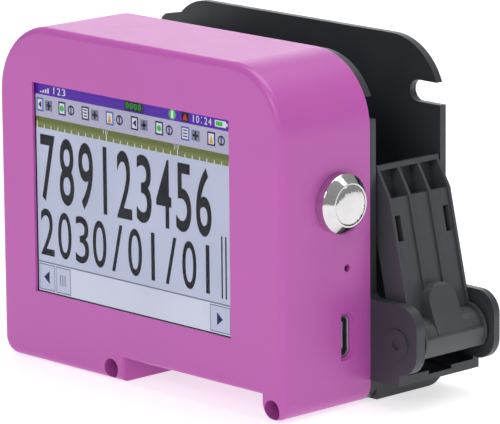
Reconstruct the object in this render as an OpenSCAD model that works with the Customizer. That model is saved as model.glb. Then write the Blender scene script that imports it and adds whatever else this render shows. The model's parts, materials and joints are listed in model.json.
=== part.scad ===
// Hand-held date coder for cartons and bottles.
// A screen unit stands in front of an open cartridge bay, and a swing lever at the
// right-hand end of the bay presses the ink cartridge against its contacts.
// X runs to the user's right, Y runs away from the user and Z is up. The origin is the
// middle of the footprint, on the surface that the feet stand on. Sizes are millimetres.

/* [Overall] */
// Width from the shell's left side to the tip of the rear ear
total_w = 117.3; // [117.3:0.1:119]
// Depth from the shell's front face to the back of the rear plate
total_d = 56; // [56:0.1:57]

/* [Front shell] */
// Width of the coloured front shell
shell_w = 100.8; // [100.8:0.1:101.2]
// Height of the front shell
shell_h = 84.1; // [84.1:0.1:86]
// Depth of the front shell
shell_d = 28.7; // [28.5:0.1:28.8]
// Radius of the two top corners
top_r = 17.5; // [15:0.5:18]
// Radius of the two bottom corners
foot_r = 4.3; // [3.5:0.1:4.5]
// Rounding of the edge round the front face
edge_r = 1.8; // [1:0.1:2]
// Thickness of the side walls
wall_t = 2.2; // [1.8:0.1:2.3]
// Height of the gap between the two feet
gap_h = 5.9; // [4:0.1:6]
// Left end of the gap between the feet
gap_left = 44.3; // [44.3:0.1:50]
// Right end of the gap between the feet
gap_right = 92.9; // [85:0.1:93]

/* [Screen] */
// Width of the window over the display
screen_w = 70.1; // [66:0.1:70.4]
// Height of the window over the display
screen_h = 52.6; // [50:0.1:52.8]
// Distance from the shell's left side to the window
screen_left = 12.7; // [12.5:0.1:13.5]
// Height of the window's bottom edge
screen_bottom = 17.6; // [17.2:0.1:18]

/* [Power button] */
// Distance of the button's axis behind the front face
button_y = 17.9; // [17.5:0.1:18.2]
// Height of the button's axis
button_z = 50.5; // [50:0.1:51]
// Diameter of the metal head
button_head_d = 14.5; // [13:0.1:15]
// Travel of the push cap
button_travel = 1.2; // [0.8:0.1:1.4]

/* [Cartridge bay] */
// Thickness of the front plate of the bay
front_plate_t = 2.9; // [2.6:0.1:3]
// Thickness of the rear plate
rear_plate_t = 2; // [1.8:0.1:2.2]
// Height of the bay floor
floor_top = 6.4; // [6.2:0.1:6.6]
// Width of the window that the nozzles print through
nozzle_w = 24; // [18:1:24]
// Radius of the round end of the two plate notches
notch_r = 2.65; // [2:0.05:2.8]

/* [Latch lever] */
// Distance of the hinge axis from the shell's left side
pivot_x = 109.7; // [109.5:0.1:110]
// Height of the hinge axis
pivot_z = 15.9; // [15.5:0.1:16.5]
// Angle that the closed lever leans inwards
lean = 13; // [11:0.5:13]
// Width of the lever between the two plates
lever_w = 20.9; // [20:0.1:21]
// Length of the lever above its hinge
lever_len = 42.1; // [40:0.1:44]
// Radius of the steel hinge pin
pin_r = 1.5; // [1.2:0.05:1.6]

/* [Encoder] */
// Radius of the tyre that rolls on the work
wheel_r = 8; // [7.8:0.1:8.2]
// Number of slots in the coded disc
disc_slots = 24; // [12:1:36]

/* [Hidden] */

$fn = 48;
eps = 0.05;
fit = 0.06;         // radial play of a shaft that turns or slides in its hole
snug = 0.05;        // radial play of a screw in its hole

shell_red = [0.72, 0.33, 0.66];
black = [0.13, 0.14, 0.15];
dark = [0.2, 0.2, 0.22];
steel = [0.72, 0.73, 0.75];
chrome = [0.85, 0.86, 0.88];
gold = [0.83, 0.66, 0.3];
green = [0.08, 0.32, 0.18];

// Front wall, screen stack and electronics, front to back
front_t = 2.4;
lip_t = 0.7;
gasket_t = 0.25;
glass_y = lip_t + gasket_t;
lcd_y = glass_y + 1.2;
lcd_back = lcd_y + 3.2;
board_y = 17.9;
board_back = board_y + 1.6;
cover_t = 2.3;
cover_y = shell_d - cover_t;
panel_x0 = screen_left - 3.3;
panel_x1 = screen_left + screen_w + 3.3;
panel_z0 = screen_bottom - 5.5;
panel_z1 = screen_bottom + screen_h + 5.5;
cavity_z = gap_h + 1.9;
foot_edge = 1.1;     // rounding of the gap's front edges
boss_r = 4.2;
stem_x = 87.6;      // inner end of the button's stem

// Bay
plate_y = shell_d;
bay_y0 = plate_y + front_plate_t;
bay_y1 = total_d - rear_plate_t;
bay_x0 = 0.9;
bay_x1 = shell_w - 0.9;
ear_z0 = 8.4;
ear_z1 = 25.3;
ear_r = 5.6;
lip_x = 110.4;      // the lip under the lever: its outer face, and its height at the sides
lip_z0 = 5.5;
lip_z1 = 7.8;
notch_x = 92;
notch_z = 71.05;
end_wall = 2;
end_x1 = 14.5;
end_top = 75.5;
shoulder_x = 9.3;   // the rear plate's raised part starts here
shoulder_r = 13;
flex_z = [22, 42];

// Screws
screw_r = 1.4;
foot_screw_x = [40.2, shell_w - 4.2];
foot_screw_z = 2.75;
foot_screw_seat = 10;
top_screw_x = [22, shell_w - 22];
top_screw_z = shell_h - 5.1;
board_screw_at = [[5.9, 22], [5.9, 60], [92.5, 29.5], [92.5, 65]];
rear_screw_at = [[7.7, 22], [7.7, 70], [35, 4.6], [94.5, 4.6]];

// Latch
lever_y0 = (bay_y0 + bay_y1 - lever_w) / 2;
lever_y1 = lever_y0 + lever_w;
face_u = 1.5;       // outer face of the lever's ribs, out from the hinge axis
inner_u = -5;       // inner edge of the ribs
bend_w = 34;        // height of the bend above the hinge, along the lever
tip_u = -0.8;
barrel_r = 6.1;
rib_t = 0.8;
rib_pitch = (lever_w - rib_t) / 3;
coil_r = 2.35;      // middle of the latch spring's wire, round the pin
wire_r = 0.3;
coil_y0 = 2;        // the lever's barrel is cut away for the coil between these two
coil_y1 = 6.2;
peg_r = 0.8;        // post on the front plate that the spring's fixed leg leans on
peg_x = pivot_x - 8;
peg_z = pivot_z + coil_r - wire_r - peg_r;

// Encoder
wheel_x0 = 4.6;
wheel_y = 43;
wheel_z = wheel_r;
disc_r = 5.5;
disc_x = 11.3;

// The object's own left, front and bottom corner, moved to the middle of the footprint
module place() translate([-total_w / 2, -total_d / 2, 0]) children();

module block(low, high) translate(low) cube(high - low);

module rod_x(r, x0, x1, y, z) translate([x0, y, z]) rotate([0, 90, 0]) cylinder(r = r, h = x1 - x0);

module rod_y(r, y0, y1, x, z) translate([x, y1, z]) rotate([90, 0, 0]) cylinder(r = r, h = y1 - y0);

module rod_z(r, z0, z1, x, y) translate([x, y, z0]) cylinder(r = r, h = z1 - z0);

// An outline drawn in X and Z, given a thickness along Y
module slab(y0, t) translate([0, y0 + t, 0]) rotate([90, 0, 0]) linear_extrude(t) children();

// A round profile drawn as [radius, distance], turned about an axis along X
module turned_x(x, y, z) translate([x, y, z]) rotate([0, 90, 0]) rotate_extrude() children();

// A flat panel with two top radii and two bottom radii
module panel(x0, x1, z0, z1, rt, rb) {
    for (c = [[x0 + rt, z1 - rt, rt], [x1 - rt, z1 - rt, rt], [x0 + rb, z0 + rb, rb], [x1 - rb, z0 + rb, rb]])
        translate([c[0], c[1]]) circle(r = c[2]);
    translate([x0 + rt, z0 + rb]) square([x1 - x0 - 2 * rt, z1 - z0 - rb]);
    translate([x0, z0 + rb]) square([x1 - x0, z1 - z0 - rt - rb]);
    translate([x0 + rb, z0]) square([x1 - x0 - 2 * rb, z1 - z0 - rt]);
}

module shell_outline(inset) {
    panel(inset, shell_w - inset, inset, shell_h - inset, top_r - inset, foot_r - inset);
}

// A pan-head screw along Y, its head's seat at seat_y and its tip at tip_y
module screw_y(x, z, seat_y, tip_y, r, head_r, head_t) {
    way = sign(tip_y - seat_y);
    difference() {
        union() {
            rod_y(r, min(seat_y, tip_y), max(seat_y, tip_y), x, z);
            rod_y(head_r, min(seat_y, seat_y - way * head_t), max(seat_y, seat_y - way * head_t), x, z);
        }
        for (turn = [0, 90])
            translate([x, seat_y - way * head_t, z]) rotate([0, turn, 0])
                cube([head_r * 1.3, head_t, 0.5], center = true);
    }
}

// A wire or spring swept along points, as a closed tube
function unit(v) = v / norm(v);
function ring_points(p, along, r, sides) =
    let (side = unit(cross(along, abs(along[2]) < 0.9 ? [0, 0, 1] : [1, 0, 0])), up = cross(side, along))
    [for (i = [0:sides - 1]) p + r * (cos(360 * i / sides) * side + sin(360 * i / sides) * up)];
module tube(path, r, sides = 8) {
    last = len(path) - 1;
    dirs = [for (i = [0:last]) unit(path[min(i + 1, last)] - path[max(i - 1, 0)])];
    points = [for (i = [0:last]) each ring_points(path[i], dirs[i], r, sides)];
    walls = [for (i = [0:last - 1], j = [0:sides - 1]) let (k = (j + 1) % sides)
        [i * sides + j, i * sides + k, (i + 1) * sides + k, (i + 1) * sides + j]];
    caps = [[for (j = [sides - 1:-1:0]) j], [for (j = [0:sides - 1]) last * sides + j]];
    polyhedron(points, concat(walls, caps), convexity = 6);
}

// ---- Screen unit ----

module front_shell() place() color(shell_red) difference() {
    union() {
        hull() for (a = [0:22.5:90])
            slab(edge_r * (1 - cos(a)), edge_r * cos(a) + 0.2) shell_outline(edge_r * (1 - sin(a)));
        slab(edge_r, shell_d - edge_r) shell_outline(0);
    }
    difference() {
        union() {
            intersection() {
                slab(front_t, shell_d) shell_outline(wall_t);
                block([0, 0, cavity_z], [shell_w, shell_d + 1, shell_h]);
            }
            block([foot_r, front_t, wall_t], [34, shell_d + 1, cavity_z + 1]);
        }
        for (x = top_screw_x) rod_y(2.8, 0, cover_y, x, top_screw_z);
        for (at = board_screw_at) rod_y(2.6, 0, board_y, at[0], at[1]);
    }
    feet_gap();
    screen_window();
    for (x = foot_screw_x) {
        rod_y(2.45, -1, foot_screw_seat, x, foot_screw_z);
        rod_y(screw_r + snug, 0, shell_d + 1, x, foot_screw_z);
    }
    for (x = top_screw_x) rod_y(1.25 + snug, 14, shell_d, x, top_screw_z);
    for (at = board_screw_at) rod_y(0.85 + snug, 10, shell_d, at[0], at[1]);
    rod_x(6, shell_w - 5, shell_w + 1, button_y, button_z);
    rod_x(0.95, shell_w - 5, shell_w + 1, 21, 34.2);
    usb_opening();
}

// What is cut away to round the gap's front edges: along its top, and up its left and right sides
module top_waste(x0, x1) translate([x0, 0, 0]) rotate([90, 0, 90]) linear_extrude(x1 - x0) difference() {
    translate([-1, gap_h - 1]) square([1 + foot_edge, 1 + foot_edge]);
    translate([foot_edge, gap_h + foot_edge]) circle(r = foot_edge);
}

module side_waste(x, way, z0, z1) translate([x, 0, z0]) linear_extrude(z1 - z0) difference() {
    translate([min(way * foot_edge, -way), -1]) square([1 + foot_edge, 1 + foot_edge]);
    translate([way * foot_edge, foot_edge]) circle(r = foot_edge);
}

// The gap between the feet. The right foot is round about its screw
module feet_gap() {
    block([gap_left, -1, -1], [gap_right, shell_d + 1, gap_h]);
    top_waste(gap_left, gap_right);
    side_waste(gap_left, -1, -1, gap_h);
    side_waste(gap_right, 1, boss_r, gap_h);
    for (side = [[gap_left, -1], [gap_right, 1]]) intersection() {
        top_waste(side[0] - 2, side[0] + 2);
        side_waste(side[0], side[1], gap_h - 0.5, gap_h + foot_edge);
    }
    difference() {
        block([gap_right - 1, -1, -1], [gap_right + boss_r, shell_d + 1, boss_r]);
        translate([gap_right + boss_r, 0, boss_r]) rotate([-90, 0, 0]) {
            cylinder(r = boss_r - foot_edge, h = shell_d + 2);
            translate([0, 0, foot_edge]) cylinder(r = boss_r, h = shell_d + 2);
            translate([0, 0, foot_edge]) rotate_extrude() translate([boss_r - foot_edge, 0])
                circle(r = foot_edge);
        }
    }
}

module screen_window() {
    slab(-1, 3) translate([screen_left, screen_bottom]) square([screen_w, screen_h]);
    block([panel_x0 - 0.3, lip_t, panel_z0 - 0.3], [panel_x1 + 0.3, front_t + eps, panel_z1 + 0.3]);
}

module usb_opening() {
    translate([shell_w - 0.5, 0, 0]) rotate([90, 0, 90]) linear_extrude(1)
        polygon([[18.85, 11.9], [21.6, 11.9], [23.1, 13.4], [23.1, 21.9], [21.6, 23.4], [18.85, 23.4]]);
    translate([shell_w - 5, 0, 0]) rotate([90, 0, 90]) linear_extrude(6)
        polygon([[19.4, 12.5], [21.3, 12.5], [22.4, 13.7], [22.4, 21.6], [21.3, 22.8], [19.4, 22.8]]);
}

module screen_gasket() place() color(black) difference() {
    block([panel_x0, lip_t, panel_z0], [panel_x1, glass_y, panel_z1]);
    block([screen_left - 0.4, 0, screen_bottom - 0.4],
        [screen_left + screen_w + 0.4, 2, screen_bottom + screen_h + 0.4]);
}

module touch_panel() place() color([0.75, 0.82, 0.9])
    block([panel_x0, glass_y, panel_z0], [panel_x1, lcd_y, panel_z1]);

module lcd_panel() place() color([0.8, 0.84, 0.95])
    block([panel_x0 + 1.2, lcd_y, panel_z0 + 3.2], [panel_x1 - 1.2, lcd_y + 2.3, panel_z1 - 3.2]);

module lcd_frame() place() color(steel) difference() {
    block([panel_x0, lcd_y, panel_z0], [panel_x1, lcd_back, panel_z1]);
    block([panel_x0 + 1.1, 0, panel_z0 + 3.1], [panel_x1 - 1.1, lcd_y + 2.4, panel_z1 - 3.1]);
}

// Flat ribbon from the display's back, round one bend, to its socket on the board
module display_ribbon() place() color([0.75, 0.45, 0.15]) translate([38, 0, 0]) rotate([90, 0, 90])
    linear_extrude(20) {
        translate([lcd_back, 12.2]) square([0.3, 4]);
        translate([lcd_back + 1.9, 10.3]) square([14.5 - lcd_back, 0.3]);
        intersection() {
            translate([lcd_back + 1.9, 12.2]) difference() {
                circle(r = 1.9);
                circle(r = 1.6);
            }
            translate([lcd_back - 0.5, 10.1]) square([2.4, 2.1]);
        }
    }

module battery() place() color([0.55, 0.57, 0.62]) translate([46, lcd_back + 1.1, 44])
    rotate([-90, 0, 0]) linear_extrude(6.6) panel(-30, 30, -22, 22, 2.5, 2.5);

module battery_pads() place() color(black) for (x = [22, 62])
    block([x, lcd_back, 24], [x + 8, lcd_back + 1.1, 64]);

// Red and black leads from the battery's top edge down to its header on the board
module battery_leads() place() color([0.7, 0.1, 0.1]) for (x = [52, 54.4]) {
    rod_z(0.55, 66, 71.4, x, 10);
    translate([x, 10, 71.4]) sphere(r = 0.55);
    rod_y(0.55, 10, 14.5, x, 71.4);
    translate([x, 14.5, 71.4]) sphere(r = 0.55);
    rod_z(0.55, 66.5, 71.4, x, 14.5);
}

module main_board() place() color(green) difference() {
    slab(board_y, board_back - board_y) panel(3, 98, 9.2, 69, 3, 3);
    block([74, board_y - 1, button_z - 10], [99, board_back + 1, button_z + 9.4]);
    for (at = board_screw_at) rod_y(0.85 + snug, 10, shell_d, at[0], at[1]);
}

// Chips and parts on the back of the board: [x, z, width, height, thickness]
module board_chips() place() color(dark) {
    for (c = [[38, 40, 14, 14, 1.2], [56, 42, 10, 8, 1], [24, 30, 8, 6, 1.2], [24, 48, 8, 6, 1.2],
            [66, 58, 7, 7, 2.4], [80, 20, 6, 5, 1.1]])
        block([c[0], board_back, c[1]], [c[0] + c[2], board_back + c[4], c[1] + c[3]]);
    for (x = [40, 48, 56]) rod_y(2.5, board_back, board_back + 5.4, x, 22);
}

module board_sockets() place() color([0.9, 0.88, 0.8]) {
    difference() {
        block([36.5, board_y - 2.4, 9.4], [59.5, board_y, 12]);
        block([37.8, board_y - 3, 10.2], [58.2, board_y - 1.4, 10.7]);
    }
    for (x = [50, 62]) block([x, board_y - 4.4, 61.5], [x + 6.4, board_y, 66.5]);
    difference() {
        block([10.6, board_back, flex_z[0] - 1.5], [14.2, board_back + 4, flex_z[1] + 1.5]);
        block([12.05, board_back + 1.2, flex_z[0] - 0.2], [12.65, board_back + 5, flex_z[1] + 0.2]);
    }
    block([16, board_back, 12], [22, board_back + 4, 18]);
}

// Sheet metal shell of the charging and data socket, with the tongue that carries its contacts
module usb_socket() place() color(steel) difference() {
    translate([93.2, 0, 0]) rotate([90, 0, 90]) linear_extrude(6.65)
        polygon([[board_back, 12.7], [21.2, 12.7], [22.25, 13.8], [22.25, 21.5], [21.2, 22.6],
            [board_back, 22.6]]);
    difference() {
        translate([94.4, 0, 0]) rotate([90, 0, 90]) linear_extrude(6)
            polygon([[board_back + 0.3, 13], [21.1, 13], [21.95, 13.9], [21.95, 21.4], [21.1, 22.3],
                [board_back + 0.3, 22.3]]);
        block([94, 20.6, 14.4], [98.9, 21.2, 20.9]);
    }
}

module reset_switch() place() color(dark) difference() {
    block([92.4, board_back, 31.9], [96.4, board_back + 3.1, 36.5]);
    rod_x(0.65, 94.5, 97, 21, 34.2);
}

module reset_plunger() place() color([0.9, 0.88, 0.8]) rod_x(0.6, 95, 97.8, 21, 34.2);

module buzzer() place() color(black) difference() {
    rod_y(4.3, board_back, board_back + 3.2, 84, 64.4);
    rod_y(0.9, board_back + 1.2, board_back + 4, 84, 64.4);
}

// ---- Power button ----

// Head with a bevelled rim, and a hollow threaded barrel behind it
module button_body() place() color(chrome) difference() {
    union() {
        turned_x(shell_w, button_y, button_z)
            polygon([[0, 0], [button_head_d / 2, 0], [button_head_d / 2, 2.4], [5.3, 4.4], [0, 4.4]]);
        rod_x(5.9, 84, shell_w, button_y, button_z);
    }
    rod_x(4.8 + fit, 100, shell_w + 5, button_y, button_z);
    rod_x(3.7, 90, shell_w, button_y, button_z);
    rod_x(1.5 + fit, stem_x - button_travel - 0.4, shell_w, button_y, button_z);
}

// Domed push cap on a stem that slides in the barrel
module button_cap() place() color(chrome) {
    turned_x(shell_w + 1, button_y, button_z)
        polygon([[0, 0], [4.8, 0], [4.8, 3.2], [4.4, 3.55], [3, 3.8], [1.5, 3.9], [0, 3.95]]);
    rod_x(1.5, stem_x, shell_w + 1.5, button_y, button_z);
}

module button_spring() place() color(steel) {
    turns = 6;
    steps = turns * 14;
    x0 = 90.5;
    x1 = shell_w + 0.5;
    tube([for (i = [0:steps]) [x0 + (x1 - x0) * i / steps,
        button_y + 2.6 * cos(360 * turns * i / steps), button_z + 2.6 * sin(360 * turns * i / steps)]],
        0.3, 6);
}

module button_washer() place() color(black) turned_x(shell_w - wall_t - 0.7, button_y, button_z)
    translate([5.95, 0]) square([1.6, 0.7]);

module button_nut() place() color(steel) difference() {
    translate([shell_w - wall_t - 3.2, button_y, button_z]) rotate([0, 90, 0]) cylinder(r = 8, h = 2.5, $fn = 6);
    rod_x(5.95, 80, shell_w, button_y, button_z);
}

module button_terminals() place() color(gold) for (z = [-2, 2])
    block([79.5, button_y - 0.3, button_z + z - 0.8], [84, button_y + 0.3, button_z + z + 0.8]);

// Two wires from the button's terminals up to their header on the board
module button_leads() place() color([0.75, 0.1, 0.1]) for (side = [-1, 1]) {
    x = 66.2 + side * 1.3;
    z = button_z + side * 2;
    y = 14.4;
    rod_x(0.5, x, 78.3, y, z);
    translate([78.3, y, z]) sphere(r = 0.5);
    rod_y(0.5, y, button_y - 0.3, 80.2, z);
    translate([80.2, y, z]) sphere(r = 0.5);
    rod_x(0.5, 78, 80.2, y, z);
    translate([x, y, z]) sphere(r = 0.5);
    rod_z(0.5, z, 61.5, x, y);
}

// ---- Bay ----

// Closes the electronics, let into the back of the front shell
module back_cover() place() color(black) difference() {
    intersection() {
        slab(cover_y, cover_t) shell_outline(wall_t + 0.15);
        block([0, 0, cavity_z + 0.15], [shell_w, shell_d + 1, shell_h]);
    }
    for (x = top_screw_x) rod_y(1.25 + snug, 10, shell_d + 1, x, top_screw_z);
    flex_slot();
}

module flex_slot() block([11.9, cover_y - 1, flex_z[0] - 0.4], [12.8, bay_y0 + 1, flex_z[1] + 0.4]);

// The lug of a plate that carries one end of the hinge pin, with a fillet above it
module ear(tip_x) {
    translate([90, ear_z0]) square([tip_x - ear_r - 90, ear_z1 - ear_z0]);
    translate([90, ear_z0 + ear_r]) square([tip_x - 90, ear_z1 - ear_z0 - 2 * ear_r]);
    for (z = [ear_z0 + ear_r, ear_z1 - ear_r]) translate([tip_x - ear_r, z]) circle(r = ear_r);
    difference() {
        translate([bay_x1 - 1, ear_z1 - 1]) square([3, 3]);
        translate([bay_x1 + 2, ear_z1 + 2]) circle(r = 2);
    }
    translate([90, lip_z0]) square([lip_x - 90, ear_z0 + 1 - lip_z0]);
}

// An open slot from the plate's right edge, with a round inner end
module plate_notch() {
    translate([notch_x, notch_z]) circle(r = notch_r);
    translate([notch_x, notch_z - notch_r]) square([20, 2 * notch_r]);
}

module front_plate() place() color(black) difference() {
    union() {
        slab(plate_y, front_plate_t) difference() {
            union() {
                panel(bay_x0, bay_x1, 0, shell_h - 0.8, top_r - 0.9, foot_r - 0.8);
                ear(total_w - 1.2);
            }
            plate_notch();
        }
        rod_y(3.6, plate_y - 0.45, plate_y + 1, pivot_x, pivot_z);
        rod_y(peg_r, bay_y0 - 1, bay_y0 + 6.5, peg_x, peg_z);
    }
    rod_y(pin_r + 0.02, plate_y + 0.6, bay_y0 + 1, pivot_x, pivot_z);
    rod_y(1.3, plate_y - 1, plate_y, pivot_x, pivot_z);
    for (x = foot_screw_x) rod_y(screw_r + snug, plate_y - 1, bay_y0 + 1, x, foot_screw_z);
    for (x = top_screw_x) {
        rod_y(1.25 + snug, plate_y - 1, bay_y0 + 1, x, top_screw_z);
        rod_y(2.5, bay_y0 - 1.6, bay_y0 + 1, x, top_screw_z);
    }
    flex_slot();
}

// Floor of the bay, with the nozzle window, the wheel's cut-out and the lip under the lever
module bay_floor() place() color(black) difference() {
    union() {
        translate([bay_x0, 0, 0]) rotate([90, 0, 90]) linear_extrude(bay_x1 - bay_x0) difference() {
            translate([bay_y0, 0]) square([bay_y1 - bay_y0, floor_top]);
            difference() {
                translate([bay_y1 - 4.5, -1]) square([5, 4]);
                translate([bay_y1 - 4.5, 6.06]) circle(r = 6.06);
            }
        }
        block([bay_x1 - 1, bay_y0, lip_z0], [lip_x, bay_y1, lip_z1 - 0.9]);
        block([bay_x1 + 1, bay_y0, lip_z0], [lip_x, bay_y0 + 7.1, lip_z1]);
        block([bay_x1 + 1, bay_y1 - 7.5, lip_z0], [lip_x, bay_y1, lip_z1]);
    }
    block([84 - nozzle_w, 36.5, -1], [84, 49.5, floor_top + 1]);
    block([wheel_x0 - 0.5, wheel_y - wheel_r - 0.8, -1], [12.5, wheel_y + wheel_r + 0.8, floor_top + 1]);
    block([bay_x0 - 1, bay_y0 - 1, -1], [bay_x0 + end_wall, bay_y1 + 1, floor_top + 1]);
    for (x = foot_screw_x) rod_y(screw_r + snug, bay_y0 - 1, bay_y0 + 8.6, x, foot_screw_z);
    for (at = [rear_screw_at[2], rear_screw_at[3]]) rod_y(1.2 + snug, 43.5, bay_y1 + 1, at[0], at[1]);
}

// Hollow box at the left end of the bay: it carries the contacts and hides the encoder
module end_box() place() color(black) difference() {
    union() {
        difference() {
            union() {
                block([bay_x0, bay_y0, 0], [bay_x0 + end_wall, bay_y1, end_top]);
                block([bay_x0, bay_y0, floor_top], [end_x1, bay_y1, end_top]);
            }
            block([bay_x0 + end_wall, bay_y0 - 1, -1], [end_x1 - end_wall, bay_y1 + 1, end_top - end_wall]);
            translate([0, bay_y1, 0]) rotate([90, 0, 0]) linear_extrude(bay_y1 - bay_y0) difference() {
                translate([bay_x0 - 1, end_top - 5]) square([6, 6]);
                translate([bay_x0 + 5, end_top - 5]) circle(r = 5);
                translate([bay_x0 + 5, end_top - 6]) square([2, 8]);
            }
        }
        for (at = [rear_screw_at[0], rear_screw_at[1]])
            block([bay_x0 + end_wall - 0.5, 42, at[1] - 4], [end_x1 - end_wall + 0.5, bay_y1, at[1] + 4]);
    }
    block([end_x1 - end_wall - 1, 37, flex_z[0] - 1], [end_x1 + 1, 49, flex_z[1] + 1]);
    block([12, 30, flex_z[0] - 0.3], [12.6, 48.4, flex_z[1] + 0.3]);
    for (at = [rear_screw_at[0], rear_screw_at[1]]) rod_y(1.2 + snug, 43.5, bay_y1 + 1, at[0], at[1]);
    rod_x(1 + fit, bay_x0 + 1, end_x1 - 1, wheel_y, wheel_z);
}

module rear_outline() {
    panel(30, bay_x1 - 0.5, 2, shell_h, top_r - 1, 1.5);
    polygon([[bay_x0, 3.5], [2.4, 2], [60, 2], [60, 66], [shoulder_x, 66], [shoulder_x, 80.4], [2.2, 79.1],
        [bay_x0, 78]]);
    translate([top_r, shell_h - shoulder_r]) circle(r = shoulder_r);
    translate([top_r, 65]) square([40, shell_h - 65]);
    ear(total_w);
}

module rear_plate() place() color(black) difference() {
    slab(bay_y1, rear_plate_t) difference() {
        rear_outline();
        plate_notch();
    }
    rod_y(pin_r + 0.02, bay_y1 - 1, total_d - 0.4, pivot_x, pivot_z);
    for (at = rear_screw_at) {
        rod_y(1.2 + snug, bay_y1 - 1, total_d + 1, at[0], at[1]);
        rod_y(2.3, total_d - 1, total_d + 1, at[0], at[1]);
    }
}

module contact_block() place() color([0.25, 0.25, 0.27]) difference() {
    union() {
        block([end_x1 - end_wall, 37.15, flex_z[0] - 0.85], [end_x1, 48.85, flex_z[1] + 0.85]);
        block([end_x1, 36, flex_z[0] - 2], [end_x1 + 2.4, 50, flex_z[1] + 2]);
    }
    contact_grid(0.5, end_x1 + 5);
}

module contact_grid(r, x1) for (y = [40, 43, 46], z = [flex_z[0] + 2:4:flex_z[1] - 2])
    rod_x(r, end_x1 - end_wall, x1, y, z);

module contact_pins() place() color(gold) {
    contact_grid(0.45, end_x1 + 3);
    for (y = [40, 43, 46], z = [flex_z[0] + 2:4:flex_z[1] - 2]) translate([end_x1 + 3, y, z]) sphere(r = 0.45);
}

// Flat flexible circuit behind the contacts, straight through the plates to its board socket
module contact_flex() place() color([0.75, 0.45, 0.15])
    block([end_x1 - end_wall - 0.3, board_back + 1.4, flex_z[0]], [end_x1 - end_wall, 48, flex_z[1]]);

// ---- Latch ----

// The lever's own axes: u out from the hinge, w along the closed lever
module on_lever() translate([pivot_x, 0, pivot_z]) rotate([0, -lean, 0]) children();

module rib_outline() {
    polygon([[inner_u, 2.2], [1, 3.2], [face_u, 5], [face_u, bend_w], [tip_u, lever_len - 1.2],
        [tip_u, lever_len], [inner_u, lever_len]]);
}

// The web between the ribs: flush with them below the bend, deep behind them above it
module web_outline() {
    polygon([[-0.8, 3.4], [face_u - 0.5, 3.4], [face_u - 0.5, bend_w], [inner_u + 1.4, bend_w],
        [inner_u + 1.4, lever_len - 1.2], [tip_u, lever_len - 1.2], [tip_u, lever_len],
        [inner_u, lever_len], [inner_u, bend_w - 1.4], [-0.8, bend_w - 1.4]]);
}

// A raised rest for the thumb, round at the top and running down on to the bar below it
module thumb_rest() intersection() {
    slab(lever_y0, lever_w) polygon([[-1, -1], [5.7, -1], [4.7, 3.5], [face_u + 2.5, 8.6],
        [face_u + 2.4, 11.6], [face_u + 1.8, 12.5], [-1, 12.5]]);
    translate([-2, 0, 0]) rotate([90, 0, 90]) linear_extrude(12) {
        translate([42.25, 7.8]) circle(r = 4.7);
        translate([42.25 - 4.7, -2]) square([9.4, 9.8]);
    }
}

// A bar along the foot of the lever, upright when the lever is closed
module foot_bar() slab(lever_y0, lever_w) translate([pivot_x, pivot_z])
    polygon([[2, -3.6], [5, -3.6], [5.9, -0.6], [5.9, 1], [5.6, 1.3], [2, 1.3]]);

// Room for the coil, cut through the barrel's inner side
module coil_room() slab(lever_y0 + coil_y0, coil_y1 - coil_y0) {
    circle(r = 3);
    translate([-barrel_r - 1, -barrel_r - 1]) square([barrel_r, barrel_r + 7.5]);
}

module latch_lever() place() color(dark) difference() {
    union() {
        on_lever() {
            slab(lever_y0, lever_w) web_outline();
            for (i = [0:3]) slab(lever_y0 + i * rib_pitch, rib_t) rib_outline();
            thumb_rest();
            rod_y(barrel_r - 0.9, lever_y0, lever_y1, 0, 0);
            for (y = [lever_y0, lever_y1 - rib_t]) rod_y(barrel_r, y, y + rib_t, 0, 0);
        }
        foot_bar();
    }
    on_lever() {
        for (y = [lever_y0 + 1.4, lever_y1 - 3.2]) block([-1.5, y, 23.6], [3, y + 1.8, 29.8]);
        coil_room();
        rod_y(pin_r + fit, 20, 60, 0, 0);
    }
    block([90, 20, 0], [130, 60, pivot_z - 3.5]);
}

// Steel leaf on the lever's inner edge that presses the cartridge, hooked in the two slots
module latch_leaf() place() color(steel) on_lever() {
    block([inner_u - 0.5, lever_y0 + 1.6, 12], [inner_u, lever_y1 - 1.6, 38]);
    slab(lever_y0 + 5, lever_w - 10) difference() {
        translate([inner_u + 9.7, 25]) circle(r = 12.2, $fn = 96);
        translate([inner_u + 9.7, 25]) circle(r = 11.7, $fn = 96);
        translate([inner_u - 0.4, 0]) square([30, 60]);
    }
    for (y = [lever_y0 + 1.7, lever_y1 - 2.9]) block([inner_u - 0.3, y, 24.2], [-0.4, y + 1.2, 29.2]);
}

module hinge_pin() place() color(steel) rod_y(pin_r, plate_y + 0.65, total_d - 0.45, pivot_x, pivot_z);

// Coil round the pin, one leg up behind the lever's web and one on the front plate's peg
module latch_spring() place() color(steel) {
    turns = 3.75;
    steps = 60;
    y0 = lever_y0 + coil_y0 + 0.6;
    rise = 2.7;
    coil = [for (i = [0:steps]) let (a = 180 + 360 * turns * i / steps)
        [pivot_x + coil_r * cos(a), y0 + rise * i / steps, pivot_z + coil_r * sin(a)]];
    top = [pivot_x - coil_r - 1.5, y0, pivot_z + 11];
    end = [peg_x - 1, y0 + rise, pivot_z + coil_r];
    tube(concat([top], coil, [end]), wire_r, 6);
}

// ---- Encoder ----

module encoder_hub() place() color([0.85, 0.85, 0.82]) difference() {
    rod_x(wheel_r - 1.5, wheel_x0, wheel_x0 + 5.6, wheel_y, wheel_z);
    rod_x(1.02, 0, 20, wheel_y, wheel_z);
    for (a = [0:60:300]) translate([0, wheel_y, wheel_z]) rotate([a, 0, 0])
        rod_x(0.8, wheel_x0 - 1, wheel_x0 + 7, 3.2, 0);
}

module encoder_tyre() place() color(black) difference() {
    rod_x(wheel_r, wheel_x0, wheel_x0 + 5.6, wheel_y, wheel_z);
    rod_x(wheel_r - 1.48, 0, 20, wheel_y, wheel_z);
}

module encoder_axle() place() color(steel) rod_x(1, bay_x0 + 1.1, end_x1 - 1.1, wheel_y, wheel_z);

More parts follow.
